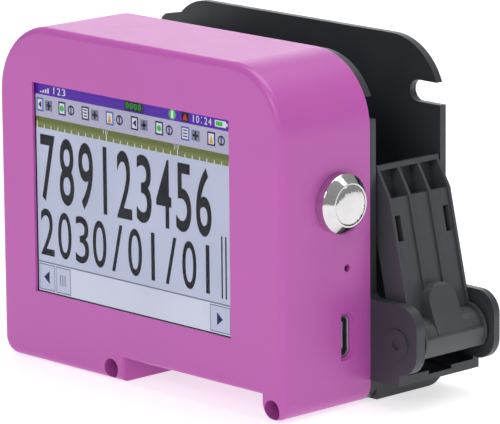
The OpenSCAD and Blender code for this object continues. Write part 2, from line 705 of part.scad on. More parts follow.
module encoder_disc() place() color(steel) difference() {
    rod_x(disc_r, disc_x, disc_x + 0.3, wheel_y, wheel_z);
    rod_x(1.02, 0, 20, wheel_y, wheel_z);
    for (i = [0:disc_slots - 1]) translate([0, wheel_y, wheel_z]) rotate([i * 360 / disc_slots, 0, 0])
        block([disc_x - 1, -0.22, 3.6], [disc_x + 1, 0.22, 5]);
}

// Light gate that straddles the coded disc
module encoder_sensor() place() color(black) difference() {
    block([10.6, wheel_y - 2, wheel_z + 3.4], [12.5, wheel_y + 2, wheel_z + 8.6]);
    block([11, wheel_y - 3, wheel_z + 3], [11.9, wheel_y + 3, wheel_z + 6.2]);
}

// ---- Screws ----

module foot_screws() place() color(steel)
    for (x = foot_screw_x) screw_y(x, foot_screw_z, foot_screw_seat, bay_y0 + 8, screw_r, 2.3, 1.7);

module top_screws() place() color(steel)
    for (x = top_screw_x) screw_y(x, top_screw_z, bay_y0 - 1.6, 15, 1.25, 2.4, 1.5);

module board_screws() place() color(steel)
    for (at = board_screw_at) screw_y(at[0], at[1], board_back, 11, 0.85, 1.9, 1.2);

module rear_screws() place() color(steel) for (at = rear_screw_at)
    screw_y(at[0], at[1], total_d - 1, 44, 1.2, 2.2, 1);

front_shell();
screen_gasket();
touch_panel();
lcd_panel();
lcd_frame();
display_ribbon();
battery();
battery_pads();
battery_leads();
main_board();
board_chips();
board_sockets();
usb_socket();
reset_switch();
reset_plunger();
buzzer();
button_body();
button_cap();
button_spring();
button_washer();
button_nut();
button_terminals();
button_leads();
back_cover();
front_plate();
bay_floor();
end_box();
rear_plate();
contact_block();
contact_pins();
contact_flex();
latch_lever();
latch_leaf();
hinge_pin();
latch_spring();
encoder_hub();
encoder_tyre();
encoder_axle();
encoder_disc();
encoder_sensor();
foot_screws();
top_screws();
board_screws();
rear_screws();
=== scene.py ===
# %% [markdown]
# # Handheld date coder, screen side and cartridge bay
# The printer is a box a little larger than a hand. A coloured moulded shell with a touch screen
# stands in front, and a black bay for the ink cartridge is screwed to its back, with a sprung
# lever at one end. The exact parts come in as a fixed frame in metres, +Z up, and every cell
# below adds a finish or a finer piece in that same frame.

# %% Load the frame
import bpy
import bmesh
import json
import math
from mathutils import Matrix, Vector

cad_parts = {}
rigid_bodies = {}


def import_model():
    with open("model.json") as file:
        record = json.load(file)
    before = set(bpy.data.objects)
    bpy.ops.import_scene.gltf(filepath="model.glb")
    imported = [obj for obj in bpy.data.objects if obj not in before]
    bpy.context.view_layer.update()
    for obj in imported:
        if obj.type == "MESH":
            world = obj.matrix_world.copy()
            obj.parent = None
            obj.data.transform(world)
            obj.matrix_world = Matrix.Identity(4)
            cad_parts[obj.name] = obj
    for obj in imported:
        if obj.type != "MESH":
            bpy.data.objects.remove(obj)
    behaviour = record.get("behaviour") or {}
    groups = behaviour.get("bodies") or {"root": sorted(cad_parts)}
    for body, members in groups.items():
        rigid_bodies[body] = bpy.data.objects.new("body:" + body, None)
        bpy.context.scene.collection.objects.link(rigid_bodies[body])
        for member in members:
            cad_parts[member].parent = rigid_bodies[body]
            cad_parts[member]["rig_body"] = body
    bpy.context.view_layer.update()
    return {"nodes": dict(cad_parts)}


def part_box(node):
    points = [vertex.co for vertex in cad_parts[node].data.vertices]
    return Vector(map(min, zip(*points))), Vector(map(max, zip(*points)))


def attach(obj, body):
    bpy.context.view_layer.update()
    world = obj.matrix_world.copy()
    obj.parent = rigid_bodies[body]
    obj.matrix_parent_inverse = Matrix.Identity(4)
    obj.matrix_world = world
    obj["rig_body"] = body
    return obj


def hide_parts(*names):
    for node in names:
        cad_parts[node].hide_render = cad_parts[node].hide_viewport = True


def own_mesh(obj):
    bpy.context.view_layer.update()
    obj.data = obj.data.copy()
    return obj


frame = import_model()
nodes = frame["nodes"]
MM = 0.001

# %% [markdown]
# ## Where things are
# The drawing of the real object starts at the lower left front corner of its coloured shell.
# The frame starts at the middle of the footprint instead. One small function turns a distance
# on the object, in millimetres, into a place in the frame, so that later cells can speak of
# the shell's own width and height.

# %% Places on the object
shell_low, shell_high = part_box("front_shell")
SHELL_W = (shell_high.x - shell_low.x) / MM
SHELL_H = (shell_high.z - shell_low.z) / MM
SHELL_D = (shell_high.y - shell_low.y) / MM


def at(x, y, z):
    """A point measured in mm from the shell's lower left front corner, in the frame."""
    return Vector((shell_low.x + x * MM, shell_low.y + y * MM, shell_low.z + z * MM))


print("shell in mm:", round(SHELL_W, 1), round(SHELL_D, 1), round(SHELL_H, 1))

# %% [markdown]
# ## Camera
# The object is seen from its front right corner, a little above the middle, through a long
# lens from more than a metre away. A long lens keeps upright edges parallel, as in a product
# picture. The three direction vectors are built by hand, because the camera is also turned by
# half a degree about its own axis, which a track-to constraint would undo.

# %% Make the camera
AZIMUTH, ELEVATION, ROLL = (math.radians(a) for a in (46.48, 12.45, -0.52))
back = Vector((math.sin(AZIMUTH) * math.cos(ELEVATION),
               -math.cos(AZIMUTH) * math.cos(ELEVATION), math.sin(ELEVATION)))
level_right = Vector((math.cos(AZIMUTH), math.sin(AZIMUTH), 0))
level_up = back.cross(level_right)
right = math.cos(ROLL) * level_right + math.sin(ROLL) * level_up
up = -math.sin(ROLL) * level_right + math.cos(ROLL) * level_up
camera_data = bpy.data.cameras.new("camera")
camera_data.lens = 315.1
camera_data.sensor_width = 36
camera_data.clip_start, camera_data.clip_end = 0.05, 20
camera = bpy.data.objects.new("camera", camera_data)
bpy.context.scene.collection.objects.link(camera)
camera.matrix_world = Matrix.Translation((0.75459, -0.71497, 0.26965)) @ Matrix(
    (right, up, back)).transposed().to_4x4()
bpy.context.scene.camera = camera
print("camera at", [round(v, 3) for v in camera.location])

# %% [markdown]
# ## Node materials
# Every finish here is a small node tree around one Principled shader. Building each tree by
# hand would fill the file, so one helper adds and wires a node, and one recipe makes the
# moulded plastics: a colour that drifts very slightly, a fine mould grain in the bump, and a
# gloss that is a little uneven. The patterns read Object coordinates, so they stay the same
# size on every part.

# %% Helpers for materials


class Tree:
    """A material's node tree with short ways to add and join nodes."""

    def __init__(self, name):
        self.material = bpy.data.materials.new(name)
        self.material.use_nodes = True
        self.nodes = self.material.node_tree.nodes
        self.links = self.material.node_tree.links
        self.shader = self.nodes["Principled BSDF"]
        self.place = self.nodes.new("ShaderNodeTexCoord").outputs["Object"]

    def add(self, kind, **values):
        """A new node: values are settings, sockets by name, or links."""
        node = self.nodes.new(kind)
        for key, value in values.items():
            if hasattr(node, key) and key not in node.inputs:
                setattr(node, key, value)
                continue
            socket = node.inputs[key.replace("_", " ")] if isinstance(key, str) else node.inputs[key]
            self.put(socket, value)
        return node

    def put(self, socket, value):
        if isinstance(value, bpy.types.NodeSocket):
            self.links.new(value, socket)
        else:
            socket.default_value = value

    def set(self, **values):
        """Sets or joins the shader's own sockets."""
        for key, value in values.items():
            self.put(self.shader.inputs[key.replace("_", " ")], value)
        return self

    def noise(self, scale, detail=2.0, roughness=0.5):
        node = self.add("ShaderNodeTexNoise", Vector=self.place, Scale=scale, Detail=detail)
        node.inputs["Roughness"].default_value = roughness
        return node.outputs["Fac"]

    def ramp(self, value, low, high, start=0.0, end=1.0):
        """Maps a value from start..end to low..high, as numbers or colours."""
        if isinstance(low, tuple):
            node = self.nodes.new("ShaderNodeValToRGB")
            node.color_ramp.elements[0].position = start
            node.color_ramp.elements[1].position = end
            node.color_ramp.elements[0].color = low
            node.color_ramp.elements[1].color = high
            self.links.new(value, node.inputs["Fac"])
            return node.outputs["Color"]
        node = self.nodes.new("ShaderNodeMapRange")
        for socket, number in zip(("From Min", "From Max", "To Min", "To Max"),
                                  (start, end, low, high)):
            node.inputs[socket].default_value = number
        self.links.new(value, node.inputs["Value"])
        return node.outputs["Result"]

    def bump(self, height, strength, distance):
        node = self.nodes.new("ShaderNodeBump")
        node.inputs["Strength"].default_value = strength
        node.inputs["Distance"].default_value = distance
        self.links.new(height, node.inputs["Height"])
        return node.outputs["Normal"]


def linear(red, green, blue):
    """A screen colour from 0 to 255 as the linear colour that shaders use."""
    def one(v):
        v /= 255
        return v / 12.92 if v <= 0.04045 else ((v + 0.055) / 1.055) ** 2.4
    return (one(red), one(green), one(blue), 1.0)


def shade(colour, factor):
    return tuple(min(1.0, c * factor) for c in colour[:3]) + (1.0,)


def plastic(name, colour, gloss=0.4, grain=4000, depth=0.00003, strength=0.35, drift=0.06,
            uneven=0.05):
    """Moulded plastic: slow colour drift, fine mould grain, slightly uneven gloss."""
    tree = Tree(name)
    cloud = tree.noise(60, 4)
    fine = tree.noise(grain, 2)
    tree.set(Base_Color=tree.ramp(cloud, shade(colour, 1 - drift), shade(colour, 1 + drift), 0.3, 0.7),
             Roughness=tree.ramp(tree.noise(220, 3), gloss - uneven, gloss + uneven, 0.3, 0.7),
             Normal=tree.bump(fine, strength, depth))
    return tree.material


print("helpers ready")

# %% [markdown]
# ## The plastics
# The shell is a glossy pink-purple plastic. The bay is a fine-grained black, and the lever is a
# dark grey moulded in a harder plastic. They share one recipe and differ in colour, gloss and
# grain. Parts inside the shell get a chip plastic and a light connector plastic.

# %% Make the plastics
shell_plastic = plastic("shell_plastic", linear(187, 87, 173), gloss=0.34, grain=3200, strength=0.22,
                        drift=0.02, uneven=0.015)
bay_plastic = plastic("bay_plastic", linear(52, 54, 59), gloss=0.42, grain=2600, strength=0.5,
                      drift=0.12)
lever_plastic = plastic("lever_plastic", linear(66, 67, 72), gloss=0.38, grain=2400, strength=0.45,
                        drift=0.08)
dark_plastic = plastic("dark_plastic", linear(34, 34, 38), gloss=0.5, grain=3000, strength=0.4,
                       drift=0.1)
light_plastic = plastic("light_plastic", linear(222, 216, 200), gloss=0.45, grain=3000, strength=0.3)
print("plastics:", [m.name for m in bpy.data.materials if "plastic" in m.name])

# %% [markdown]
# ## The metals
# The button is polished chrome, which shows little but what it reflects: its own pattern is only
# a faint haze in the gloss. Screws and pins are turned steel with fine rings, and the contacts
# are gold plated. Metallic is 1 on all of them, so the colour is the colour of the reflection.

# %% Make the metals


def metal(name, colour, low, high, scale=300, strength=0.1, stretch=(1, 1, 1)):
    """Bare or plated metal: an uneven gloss, and a bump that can be stretched into lines."""
    tree = Tree(name)
    lines = tree.nodes.new("ShaderNodeMapping")
    lines.inputs["Scale"].default_value = stretch
    tree.links.new(tree.place, lines.inputs["Vector"])
    grain = tree.add("ShaderNodeTexNoise", Vector=lines.outputs["Vector"], Scale=scale * 6, Detail=3)
    haze = tree.noise(scale, 3)
    tree.set(Metallic=1.0,
             Base_Color=tree.ramp(haze, shade(colour, 0.92), colour, 0.35, 0.65),
             Roughness=tree.ramp(haze, low, high, 0.3, 0.7),
             Normal=tree.bump(grain.outputs["Fac"], strength, 0.00002))
    return tree.material


chrome = metal("chrome", (0.68, 0.67, 0.67, 1), 0.05, 0.1, strength=0.004)
steel = metal("steel", (0.62, 0.63, 0.65, 1), 0.25, 0.4, strength=0.3, stretch=(1, 6, 1))
dark_steel = metal("dark_steel", (0.16, 0.16, 0.17, 1), 0.32, 0.48, strength=0.3)
gold = metal("gold", (0.95, 0.7, 0.28, 1), 0.15, 0.3, strength=0.15)
print("metals ready")

# %% [markdown]
# ## Rounded edges
# A moulded part never has a knife edge. Adding a Bevel modifier to the exact part gives each
# edge its small round, which catches a line of light. The exact mesh is loose triangles, so a
# copy is merged and its flat areas joined first: a bevel then meets clean edges only. Weighted
# normals keep the large faces flat beside the rounds.

# %% Helper that rounds a part's edges


def plain(obj, name):
    """Turns an object with modifiers into a plain mesh object of that name."""
    bpy.context.view_layer.update()
    graph = bpy.context.evaluated_depsgraph_get()
    mesh = bpy.data.meshes.new_from_object(obj.evaluated_get(graph), depsgraph=graph)
    mesh.name = name
    bpy.data.objects.remove(obj)
    made = bpy.data.objects.new(name, mesh)
    bpy.context.scene.collection.objects.link(made)
    return made


def mesh_object(name, bm, material=None):
    mesh = bpy.data.meshes.new(name)
    bm.to_mesh(mesh)
    bm.free()
    obj = bpy.data.objects.new(name, mesh)
    bpy.context.scene.collection.objects.link(obj)
    if material:
        mesh.materials.append(material)
    return obj


def soften(obj, name, width, segments=2, angle=34, smooth=50):
    """Rounds the sharp edges of an object by width mm and shades it smoothly."""
    if width:
        bevel = obj.modifiers.new("round", "BEVEL")
        bevel.width = width * MM
        bevel.segments = segments
        bevel.limit_method = "ANGLE"
        bevel.angle_limit = math.radians(angle)
        obj = plain(obj, name)
    obj.data.shade_smooth()
    obj.data.set_sharp_from_angle(angle=math.radians(smooth))
    weigh = obj.modifiers.new("normals", "WEIGHTED_NORMAL")
    weigh.keep_sharp = True
    return plain(obj, name)


def settle(obj, body, *replaced):
    """The piece rides on its body, and stands for the parts it replaces."""
    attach(obj, body)
    if replaced:
        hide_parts(*replaced)
    return obj


def merged(node):
    """A part's mesh as a bmesh, with its triangles merged and its flat areas joined."""
    bm = bmesh.new()
    bm.from_mesh(nodes[node].data)
    bmesh.ops.remove_doubles(bm, verts=bm.verts, dist=0.000004)
    bmesh.ops.dissolve_limit(bm, angle_limit=math.radians(0.5), verts=bm.verts, edges=bm.edges)
    for layer in list(bm.loops.layers.uv):
        bm.loops.layers.uv.remove(layer)
    return bm


def clean_object(bm, name, material):
    """A fresh object of a bmesh's points and faces alone, without old normals."""
    bm.verts.index_update()
    mesh = bpy.data.meshes.new(name)
    mesh.from_pydata([v.co[:] for v in bm.verts], [], [[v.index for v in f.verts] for f in bm.faces])
    bm.free()
    mesh.materials.append(material)
    obj = bpy.data.objects.new(name + "_raw", mesh)
    bpy.context.scene.collection.objects.link(obj)
    return obj


def rounded(node, width, material, segments=2):
    """A finished copy of a part with rounded edges, which stands for it."""
    source = clean_object(merged(node), node + "_finish", material)
    body = nodes[node]["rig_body"]
    return settle(soften(source, node + "_finish", width, segments), body, node)


print("rounding helper ready")

# %% [markdown]
# ## Shell, bay and lever
# The large mouldings come first. Their edge rounds are between a quarter and a third of a
# millimetre, which is what a mould maker leaves on a visible edge. The lever is the smallest of
# them and has the tightest rounds.

# %% Round the shell and the bay
for node, width, material in (
        ("front_shell", 0.35, shell_plastic), ("front_plate", 0.35, bay_plastic),
        ("rear_plate", 0.35, bay_plastic), ("bay_floor", 0.3, bay_plastic),
        ("end_box", 0.3, bay_plastic), ("latch_lever", 0.25, lever_plastic),
        ("back_cover", 0.3, bay_plastic), ("contact_block", 0.25, dark_plastic)):
    piece = rounded(node, width, material)
    print(piece.name, len(piece.data.polygons), "faces")

# %% [markdown]
# ## Materials of the small parts
# Foam, amber film, foil, sleeving, circuit board and rubber each have a structure of their own:
# cells, conductor lines or cloudy patches. One recipe blends two colours through such a
# pattern and raises the surface with the same pattern, so colour and relief agree.

# %% Make the patterned materials


def patterned(name, low, high, kind, scale, gloss, strength=0.3, way="X", metallic=0.0):
    """Two colours mixed by bands, cells or cloud, with the relief to match."""
    tree = Tree(name)
    if kind == "bands":
        value = tree.add("ShaderNodeTexWave", Vector=tree.place, Scale=scale,
                         bands_direction=way).outputs["Fac"]
    elif kind == "cells":
        value = tree.add("ShaderNodeTexVoronoi", Vector=tree.place, Scale=scale).outputs["Distance"]
    else:
        value = tree.noise(scale, 4)
    tree.set(Metallic=metallic, Base_Color=tree.ramp(value, low, high, 0.35, 0.65),
             Roughness=tree.ramp(tree.noise(scale / 2, 3), gloss - 0.05, gloss + 0.06, 0.3, 0.7),
             Normal=tree.bump(value, strength, 0.00003))
    return tree.material


foam = patterned("foam", linear(34, 34, 36), linear(60, 60, 62), "cells", 1500, 0.85, 0.8)
film = patterned("film", linear(168, 96, 28), linear(198, 126, 46), "bands", 350, 0.35, way="Z")
foil = patterned("foil", linear(176, 180, 186), linear(206, 209, 214), "cloud", 400, 0.3, metallic=0.8)
sleeve = patterned("sleeve", linear(146, 20, 22), linear(176, 32, 30), "cloud", 900, 0.5)
board_green = patterned("board_green", linear(16, 70, 42), linear(30, 98, 60), "bands", 260, 0.45,
                        way="DIAGONAL")
rubber = patterned("rubber", linear(24, 24, 25), linear(38, 38, 40), "cloud", 1400, 0.7, 0.5)
print("patterned materials ready")

# %% [markdown]
# ## The button
# The button is a turned and plated metal sleeve with a wide bevelled head, and a slightly domed
# cap slides in it. The exact parts carry these shapes already, so the cap and the sleeve only
# get their tiny plating-softened edges. The cap rides on its own body.

# %% Finish the button
for node, width, material in (
        ("button_body", 0.12, chrome), ("button_cap", 0.1, chrome), ("button_nut", 0.12, steel),
        ("button_washer", 0.1, rubber), ("button_spring", 0, steel), ("button_terminals", 0.06, gold),
        ("button_leads", 0, sleeve)):
    piece = rounded(node, width, material)
    if node == "button_spring":
        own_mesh(piece)
    print(piece.name, len(piece.data.polygons), "faces")

# %% [markdown]
# ## Lever fittings and encoder
# The lever turns on a steel pin against a small coil, and carries a curved blackened steel leaf that
# holds the cartridge down. The leaf's dark steel is partly painted shade: its hooks fill the lever's
# slots, and their dark colour stands in for the shade inside those slots. The encoder wheel is a
# light hub with a rubber tyre that rolls on the package. Spring wire is left without a bevel because
# it is round already.

# %% Finish the lever fittings and the encoder
# The leaf's dark steel is a blackened finish, and it is also painted shade for the lever's slots.
for node, width, material in (
        ("latch_leaf", 0.08, dark_steel), ("hinge_pin", 0.2, steel), ("latch_spring", 0, dark_steel),
        ("encoder_hub", 0.15, light_plastic), ("encoder_tyre", 0.3, rubber),
        ("encoder_axle", 0.1, steel), ("encoder_disc", 0.04, steel),
        ("encoder_sensor", 0.15, dark_plastic)):
    piece = rounded(node, width, material)
    print(piece.name, len(piece.data.polygons), "faces")

# %% [markdown]
# ## Marks of the ejector pins
# Steel pins push a moulded lever out of its mould and leave faint rings on it. Two lie on the
# lever's web, and they are drawn here as hair-thin raised rings that sit half in the surface.
# The lever leans on its hinge, so the rings are laid out along the lever and leaned with it.

# %% Ring marks on the lever
LEAN = math.radians(13)
PIVOT_X, PIVOT_Z, WEB_FACE = 109.7, 15.9, 1.0


def on_lever(u, y, w):
    """A point u outwards and w along the closed lever, from its hinge."""
    return at(PIVOT_X + u * math.cos(LEAN) - w * math.sin(LEAN), y,
              PIVOT_Z + u * math.sin(LEAN) + w * math.cos(LEAN))


def ring_mark(name, y, w, radius, thick=0.09, steps=48, sides=8):
    bm = bmesh.new()
    rings = []
    for i in range(steps):
        turn = 2 * math.pi * i / steps
        rings.append([bm.verts.new(on_lever(
            WEB_FACE + 0.4 * thick * math.sin(2 * math.pi * j / sides),
            y + (radius + thick * math.cos(2 * math.pi * j / sides)) * math.cos(turn),
            w + (radius + thick * math.cos(2 * math.pi * j / sides)) * math.sin(turn)))
            for j in range(sides)])
    for i in range(steps):
        for j in range(sides):
            k, m = (i + 1) % steps, (j + 1) % sides
            bm.faces.new((rings[i][j], rings[k][j], rings[k][m], rings[i][m]))
    bmesh.ops.recalc_face_normals(bm, faces=bm.faces)
    mark = mesh_object(name, bm, lever_plastic)
    mark.data.shade_smooth()
    return settle(mark, nodes["latch_lever"]["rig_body"])


for name, y, w in (("lever_mark_top", 41.9, 31.4), ("lever_mark_left", 35.9, 20.6)):
    print(ring_mark(name, y, w, 1.9).name)

# %% [markdown]
# ## Parts inside the shell
# Nothing of these shows with the shell closed except the socket's rim at the side, but a
# person who takes the shell off should find each one finished: the display in its metal frame,
# the battery in its foil, the board with its chips and sockets.

# %% Finish the parts inside
for node, width, material in (
        ("screen_gasket", 0.1, foam), ("lcd_panel", 0.1, dark_plastic), ("lcd_frame", 0.08, steel),
        ("display_ribbon", 0.02, film), ("battery", 0.5, foil), ("battery_pads", 0.1, foam),
        ("battery_leads", 0, sleeve), ("main_board", 0.1, board_green),
        ("board_chips", 0.08, dark_plastic), ("board_sockets", 0.08, light_plastic),
        ("usb_socket", 0.06, steel), ("reset_switch", 0.08, dark_plastic),
        ("reset_plunger", 0.1, light_plastic), ("buzzer", 0.15, dark_plastic),
        ("contact_flex", 0.03, film)):
    piece = rounded(node, width, material)
    print(piece.name, len(piece.data.polygons), "faces")

# %% [markdown]
# ## Screws and contact pins
# The same few fasteners repeat all over the machine, so each kind is modelled once and a
# geometry node group sets copies of it at a list of places. Each copy is turned about its own
# axis by a seeded random amount, as real screws end up when they are tight. The group ends by
# making the copies real and giving them their material, and the result is kept as a plain mesh.

# %% The node group that repeats a part


def make_repeater():
    group = bpy.data.node_groups.new("repeat_part", "GeometryNodeTree")
    sockets = {}
    for name, kind in (("Places", "NodeSocketGeometry"), ("Part", "NodeSocketObject"),
                       ("Facing", "NodeSocketVector"), ("Turn", "NodeSocketFloat"),
                       ("Seed", "NodeSocketInt"), ("Finish", "NodeSocketMaterial")):
        sockets[name] = group.interface.new_socket(name=name, in_out="INPUT", socket_type=kind)
    group.interface.new_socket(name="Parts", in_out="OUTPUT", socket_type="NodeSocketGeometry")
    start = group.nodes.new("NodeGroupInput")
    info = group.nodes.new("GeometryNodeObjectInfo")
    facing = group.nodes.new("FunctionNodeEulerToRotation")
    place = group.nodes.new("GeometryNodeInstanceOnPoints")
    chance = group.nodes.new("FunctionNodeRandomValue")
    angle = group.nodes.new("ShaderNodeCombineXYZ")
    turn = group.nodes.new("GeometryNodeRotateInstances")
    real = group.nodes.new("GeometryNodeRealizeInstances")
    paint = group.nodes.new("GeometryNodeSetMaterial")
    end = group.nodes.new("NodeGroupOutput")
    join = group.links.new
    join(start.outputs["Part"], info.inputs["Object"])
    join(info.outputs["Geometry"], place.inputs["Instance"])
    join(start.outputs["Places"], place.inputs["Points"])
    join(start.outputs["Facing"], facing.inputs["Euler"])
    join(facing.outputs["Rotation"], place.inputs["Rotation"])
    scalars = [s for s in chance.inputs if s.type == "VALUE"]
    scalars[0].default_value = 0.0
    join(start.outputs["Turn"], scalars[1])
    join(start.outputs["Seed"], chance.inputs["Seed"])
    join([s for s in chance.outputs if s.type == "VALUE"][0], angle.inputs["Z"])
    join(place.outputs["Instances"], turn.inputs["Instances"])
    join(angle.outputs["Vector"], turn.inputs["Rotation"])
    join(turn.outputs["Instances"], real.inputs["Geometry"])
    join(real.outputs["Geometry"], paint.inputs["Geometry"])
    join(start.outputs["Finish"], paint.inputs["Material"])
    join(paint.outputs["Geometry"], end.inputs["Parts"])
    return group, {name: item.identifier for name, item in sockets.items()}


repeater, socket_id = make_repeater()


def repeated(node, part, places, facing, turn, seed, material):
    """Copies of a part at places given in mm on the object, standing for a node."""
    mesh = bpy.data.meshes.new(node + "_places")
    mesh.from_pydata([at(*p)[:] for p in places], [], [])
    obj = bpy.data.objects.new(node + "_places", mesh)
    bpy.context.scene.collection.objects.link(obj)
    modifier = obj.modifiers.new("repeat", "NODES")
    modifier.node_group = repeater
    for name, value in (("Part", part), ("Facing", facing), ("Turn", turn), ("Seed", seed),
                        ("Finish", material)):
        modifier[socket_id[name]] = value
    made = plain(obj, node + "_finish")
    bpy.data.objects.remove(part)
    return settle(made, nodes[node]["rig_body"], node)


print("node group with inputs:", sorted(socket_id))

# %% [markdown]
# ## One screw
# A pan-head screw is turned from wire: a shank with a rolled thread, a head with a rounded rim,
# and a cross pressed into it. Its outline is spun round the axis, and two crossed bars are
# taken out of the head. The thread is a row of small ridges along the shank.

# %% Screw and pin meshes


def spun(name, outline, steps=32):
    """A closed solid of revolution about Z from (radius, height) points in mm."""
    bm = bmesh.new()
    rings = []
    for radius, height in outline:
        if radius < 1e-6:
            rings.append([bm.verts.new((0, 0, height * MM))])
            continue
        rings.append([bm.verts.new((radius * MM * math.cos(2 * math.pi * i / steps),
                                    radius * MM * math.sin(2 * math.pi * i / steps), height * MM))
                      for i in range(steps)])
    for low, high in zip(rings, rings[1:]):
        for i in range(steps):
            j = (i + 1) % steps
            corners = [low[i % len(low)], low[j % len(low)], high[j % len(high)], high[i % len(high)]]
            bm.faces.new(list(dict.fromkeys(corners)))
    bmesh.ops.recalc_face_normals(bm, faces=bm.faces)
    return mesh_object(name, bm)


def screw(head_r, head_t, shank_r, length):
    """A screw with its seat at height 0, its head up and its shank down, cross cut in the head."""
    outline = [(0, -length), (shank_r * 0.7, -length), (shank_r * 0.8, -length + 0.4)]
    step = 0.6
    for i in range(int((length - 1.5) / step)):
        z = -length + 0.6 + i * step
        outline += [(shank_r * 0.82, z), (shank_r, z + step * 0.35), (shank_r * 0.82, z + step * 0.7)]
    outline += [(shank_r * 0.82, -0.2), (shank_r * 0.82, 0), (head_r - 0.1, 0), (head_r, 0.12),
                (head_r, head_t * 0.45), (head_r * 0.9, head_t * 0.82), (head_r * 0.6, head_t),
                (0, head_t)]
    body = spun("screw", outline)
    bm = bmesh.new()
    for long_side, short_side in ((head_r * 1.2, 0.45), (0.45, head_r * 1.2)):
        corners = bmesh.ops.create_cube(bm, size=1)["verts"]
        bmesh.ops.scale(bm, verts=corners,
                        vec=(long_side * MM, short_side * MM, head_t * 1.2 * MM))
        bmesh.ops.translate(bm, verts=corners, vec=(0, 0, head_t * 1.05 * MM))
    bar = mesh_object("cross", bm)
    cut = body.modifiers.new("cross", "BOOLEAN")
    cut.operation, cut.object, cut.solver, cut.use_self = "DIFFERENCE", bar, "EXACT", True
    made = plain(body, "screw_part")
    bpy.data.objects.remove(bar)
    made.data.shade_smooth()
    made.data.set_sharp_from_angle(angle=math.radians(40))
    return made


HEAD_TO_FRONT = (math.radians(90), 0, 0)
HEAD_TO_BACK = (math.radians(-90), 0, 0)
FULL_TURN = 6.0     # how far a copy may be turned about its own axis, in radians
foot_x = (40.2, SHELL_W - 4.2)
top_x = (22, SHELL_W - 22)
repeated("foot_screws", screw(2.3, 1.7, 1.4, 29.5), [(x, 10, 2.75) for x in foot_x],
         HEAD_TO_FRONT, FULL_TURN, 3, dark_steel)
repeated("top_screws", screw(2.4, 1.5, 1.25, 15), [(x, 30, SHELL_H - 5.1) for x in top_x],
         HEAD_TO_BACK, FULL_TURN, 5, steel)
repeated("board_screws", screw(1.9, 1.2, 0.85, 8.4),
         [(5.9, 19.5, 22), (5.9, 19.5, 60), (92.5, 19.5, 29.5), (92.5, 19.5, 65)],
         HEAD_TO_BACK, FULL_TURN, 7, steel)
repeated("rear_screws", screw(2.2, 1.0, 1.2, 10.9),
         [(7.7, 55, 22), (7.7, 55, 70), (35, 55, 4.6), (94.5, 55, 4.6)],
         HEAD_TO_BACK, FULL_TURN, 9, dark_steel)

# %% [markdown]
# ## Contact pins
# The cartridge touches gold-plated pins with domed ends in the bay's left end. They stand in
# three columns. The same node group repeats them, this time without any random turn, because a
# round pin looks the same from every side.

# %% The contact pins
pin_low, pin_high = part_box("contact_pins")
pin_outline = [(0, 0), (0.42, 0), (0.42, 4.6), (0.36, 4.85), (0.2, 5.05), (0, 5.1)]
pin_length = (pin_high.x - pin_low.x) / MM
pin_outline = [(r, h * (pin_length - 0.02) / 5.1) for r, h in pin_outline]
rows = int(round(((pin_high.z - pin_low.z) / MM - 0.9) / 4)) + 1
first_z = (pin_low.z - shell_low.z) / MM + 0.45
first_x = (pin_low.x - shell_low.x) / MM + 0.01
repeated("contact_pins", spun("pin", pin_outline, 16),
         [(first_x, y, first_z + 4 * k) for y in (40, 43, 46) for k in range(rows)],
         (0, math.radians(90), 0), 0.0, 1, gold)
print("contact pins:", 3 * rows)

# %% [markdown]
# ## The screen
# The display is a liquid crystal panel under a touch glass, lit from behind. The lit page is
# made of flat coloured patches a hundredth of a millimetre apart, each giving off its own light
# through a faint unevenness of the backlight. The page holds only plain signs: a status bar,
# a row of icons, a ruler, two lines of digits with a cursor, and a scroll bar.

# %% The page's colours and drawing helpers
page_slots = {}
page_bm = bmesh.new()
PAGE_LEFT, PAGE_RIGHT, PAGE_TOP, PAGE_BOTTOM = 12.5, 81.85, 70.15, 17.7


def page_colour(name, red, green, blue, power=0.72):
    """A lit colour of the page, with the backlight's slow unevenness."""
    tree = Tree("page_" + name)
    cloud = tree.ramp(tree.noise(45, 2), shade(linear(red, green, blue), 0.94),
                      shade(linear(red, green, blue), 1.04), 0.3, 0.7)
    tree.set(Base_Color=linear(12, 12, 16), Roughness=tree.ramp(tree.noise(900, 2), 0.3, 0.42),
             Specular_IOR_Level=0.1, Emission_Color=cloud, Emission_Strength=power)
    page_slots[name] = (len(page_slots), tree.material)


for name, colour in (("ground", (206, 213, 240)), ("ink", (15, 15, 30)), ("violet", (88, 32, 180)),
                     ("menu", (196, 192, 222)), ("olive", (110, 120, 60)), ("moss", (128, 138, 78)),
                     ("white", (240, 240, 250)), ("grey", (128, 132, 160)), ("navy", (28, 30, 92)),
                     ("green", (60, 200, 80)), ("red", (205, 50, 45)), ("black", (14, 16, 20)),
                     ("blue", (70, 110, 200)), ("amber", (226, 170, 60)), ("track", (226, 230, 252))):
    page_colour(name, *colour)


def on_page(u, v, level):
    """A page point: u to the right and v down from 0 to 1, level steps towards the viewer."""
    return at(PAGE_LEFT + u * (PAGE_RIGHT - PAGE_LEFT), 1.32 - 0.02 * level,
              PAGE_TOP + v * (PAGE_BOTTOM - PAGE_TOP))


def shape(points, colour, level=1):
    face = page_bm.faces.new([page_bm.verts.new(on_page(u, v, level)) for u, v in points])
    face.material_index = page_slots[colour][0]
    face.normal_update()
    if face.normal.y > 0:
        face.normal_flip()


def patch(u0, v0, u1, v1, colour, level=1):
    shape([(u0, v0), (u0, v1), (u1, v1), (u1, v0)], colour, level)


def disc(u, v, radius, colour, level=1, steps=20):
    """A round spot; radius is in page widths."""
    tall = radius * (PAGE_RIGHT - PAGE_LEFT) / (PAGE_TOP - PAGE_BOTTOM)
    turns = [2 * math.pi * i / steps for i in range(steps)]
    shape([(u + radius * math.cos(turn), v + tall * math.sin(turn)) for turn in turns], colour, level)


glyph_shapes = {}


